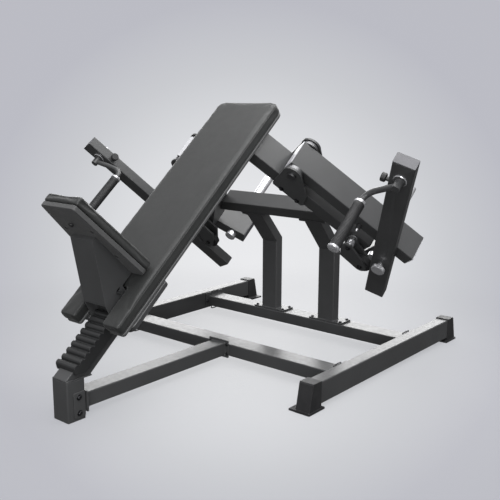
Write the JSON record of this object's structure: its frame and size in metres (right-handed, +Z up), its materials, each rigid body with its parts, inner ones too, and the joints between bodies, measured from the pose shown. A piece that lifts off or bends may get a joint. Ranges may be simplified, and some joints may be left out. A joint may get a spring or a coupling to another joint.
{
  "type": "plate-loaded incline chest fly machine",
  "caption": "Free-standing steel strength machine: long inclined back pad, seat sliding on a toothed rack, two hinged lever arms with swivel handles and sleeves for weight plates.",
  "frame": {"origin": "on the floor, under the middle of the whole machine's bounding box at rest", "axes": "+Z up; +Y from the seat end towards the uprights, along the floor rails; +X towards the right-hand lever as seen from the seat end looking along +Y"},
  "size_m": [1.8934, 1.9012, 1.171],
  "materials": {
    "frame_paint": "satin textured powder coat, dark grey",
    "black_paint": "satin black powder coat",
    "vinyl": "matt black leatherette with fine grain",
    "board": "matt black moulded back board",
    "rubber": "matt black rubber",
    "plastic": "fine-textured black plastic",
    "cap_grey": "light grey plastic, semi-gloss",
    "chrome": "polished chrome"
  },
  "bodies": {
    "frame": {"rail_right": "frame_paint", "rail_left": "frame_paint", "foot_front_right": "plastic", "foot_front_left": "plastic", "foot_rear_right": "plastic", "foot_rear_left": "plastic", "front_cross_member": "frame_paint", "rear_cross_member": "frame_paint", "spine_tube": "frame_paint", "front_post": "frame_paint", "post_head_plate": "frame_paint", "main_beam": "frame_paint", "seat_rack": "black_paint", "crossbar": "frame_paint", "upright_right": "frame_paint", "upright_left": "frame_paint", "splay_beam_right": "frame_paint", "splay_beam_left": "frame_paint", "head_gusset_right": "frame_paint", "head_gusset_left": "frame_paint", "pivot_plate_near_right": "frame_paint", "pivot_plate_near_left": "frame_paint", "pivot_plate_far_right": "frame_paint", "pivot_plate_far_left": "frame_paint", "pivot_shaft_right": "chrome", "pivot_shaft_left": "chrome", "stop_bracket_right": "frame_paint", "stop_bracket_left": "frame_paint", "stop_roller_right": "rubber", "stop_roller_left": "rubber", "pad_wing_right": "frame_paint", "pad_wing_left": "frame_paint", "back_board": "board", "back_pad": "vinyl"},
    "lever_unit_right": {"lever_right": "frame_paint", "bearing_near_right": "chrome", "bearing_far_right": "chrome", "arm_right": "frame_paint", "arm_cap_right": "cap_grey", "arm_knob_right": "chrome", "weight_carrier_right": "frame_paint", "weight_sleeve_right": "chrome"},
    "handle_unit_right": {"handle_right": "frame_paint", "grip_right": "rubber"},
    "pull_pin_unit_right": {"pull_pin_right": "plastic"},
    "lever_unit_left": {"lever_left": "frame_paint", "bearing_near_left": "chrome", "bearing_far_left": "chrome", "arm_left": "frame_paint", "arm_cap_left": "cap_grey", "arm_knob_left": "chrome", "weight_carrier_left": "frame_paint", "weight_sleeve_left": "chrome"},
    "handle_unit_left": {"handle_left": "frame_paint", "grip_left": "rubber"},
    "pull_pin_unit_left": {"pull_pin_left": "plastic"},
    "seat_unit": {"seat_carriage": "frame_paint", "seat_board": "board", "seat_pad": "vinyl"},
    "latch_unit": {"seat_latch": "black_paint"}
  },
  "joints": [
    {"name": "lever_swing_right", "type": "hinge", "parent": "frame", "child": "lever_unit_right", "pos_m": [0.334, 0.09004, 0.93059], "axis": [0, -0.7588, -0.6513], "range_deg": [0, 100]},
    {"name": "handle_swivel_right", "type": "hinge", "parent": "lever_unit_right", "child": "handle_unit_right", "pos_m": [0.86788, -0.03006, 0.8878], "axis": [0, -0.7588, -0.6513], "range_deg": [-40, 40]},
    {"name": "pull_pin_slide_right", "type": "slide", "parent": "lever_unit_right", "child": "pull_pin_unit_right", "axis": [-0.8933, -0.2928, 0.3411], "range_m": [0, 0.01], "stiffness_N_per_m": 700, "springref_m": -0.01},
    {"name": "lever_swing_left", "type": "hinge", "parent": "frame", "child": "lever_unit_left", "pos_m": [-0.334, 0.09004, 0.93059], "axis": [0, 0.7588, 0.6513], "range_deg": [0, 100]},
    {"name": "handle_swivel_left", "type": "hinge", "parent": "lever_unit_left", "child": "handle_unit_left", "pos_m": [-0.86788, -0.03006, 0.8878], "axis": [0, 0.7588, 0.6513], "range_deg": [-40, 40]},
    {"name": "pull_pin_slide_left", "type": "slide", "parent": "lever_unit_left", "child": "pull_pin_unit_left", "axis": [0.8933, -0.2928, 0.3411], "range_m": [0, 0.01], "stiffness_N_per_m": 700, "springref_m": -0.01},
    {"name": "seat_slide", "type": "slide", "parent": "frame", "child": "seat_unit", "axis": [0, 0.7588, 0.6513], "range_m": [-0.18, 0]},
    {"name": "seat_latch_lift", "type": "hinge", "parent": "seat_unit", "child": "latch_unit", "pos_m": [0, -0.67832, 0.4378], "axis": [-1, 0, 0], "range_deg": [0, 25], "stiffness_Nm_per_rad": 2, "springref_deg": -20.05}
  ]
}
